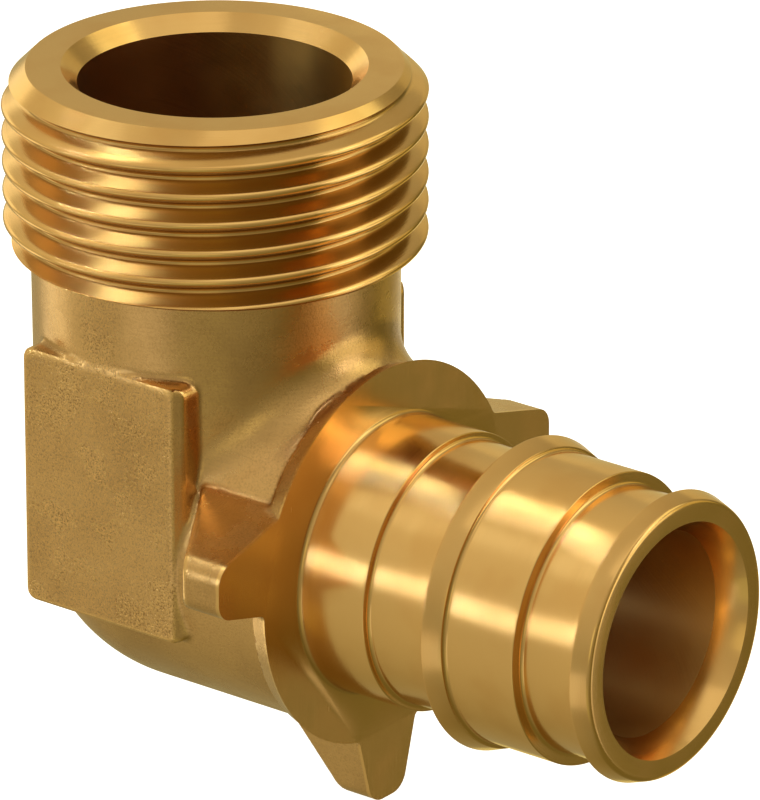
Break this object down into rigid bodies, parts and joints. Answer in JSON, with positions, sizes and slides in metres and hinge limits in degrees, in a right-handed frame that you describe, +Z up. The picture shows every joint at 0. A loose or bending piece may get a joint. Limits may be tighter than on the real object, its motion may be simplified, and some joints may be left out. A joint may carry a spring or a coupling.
{
  "type": "manifold elbow adapter",
  "caption": "Brass elbow adapter with a male parallel pipe thread on one leg and a ribbed spigot for expansion pipe on the other, with wrench pads and a lugged stop flange.",
  "frame": {"origin": "centre of the flat sealing face at the end of the male thread", "axes": "+Z runs up out of the thread, +X runs along the spigot and out of its mouth, and the wrench pads face -Y and +Y"},
  "size_m": [0.0614, 0.042, 0.0576],
  "materials": {
    "brass": "satin machined, matte where forged"
  },
  "bodies": {
    "root": {"elbow_body": "brass"}
  },
  "joints": []
}
